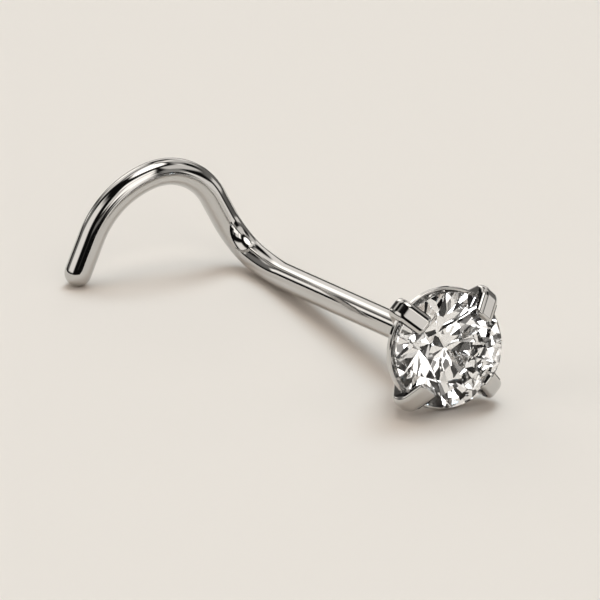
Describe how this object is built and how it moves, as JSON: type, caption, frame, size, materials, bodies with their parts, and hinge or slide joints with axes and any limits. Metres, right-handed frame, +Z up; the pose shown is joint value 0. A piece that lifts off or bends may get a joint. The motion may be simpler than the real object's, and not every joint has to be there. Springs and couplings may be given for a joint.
{
  "type": "nose stud",
  "caption": "Nose screw stud: a polished wire post with a bent hook end, and a round faceted stone in a four-prong head.",
  "frame": {"origin": "on the resting surface, under the middle of the stud's bounding box", "axes": "+Z up from the surface on which the stud lies, +X along the post in plan, toward the head and its stone; the hook turns off to -Y"},
  "size_m": [0.011, 0.0056, 0.0027],
  "materials": {
    "metal": "mirror-polished white metal",
    "stone": "polished colourless stone"
  },
  "bodies": {
    "root": {"wire_and_setting": "metal", "stone": "stone"}
  },
  "joints": []
}
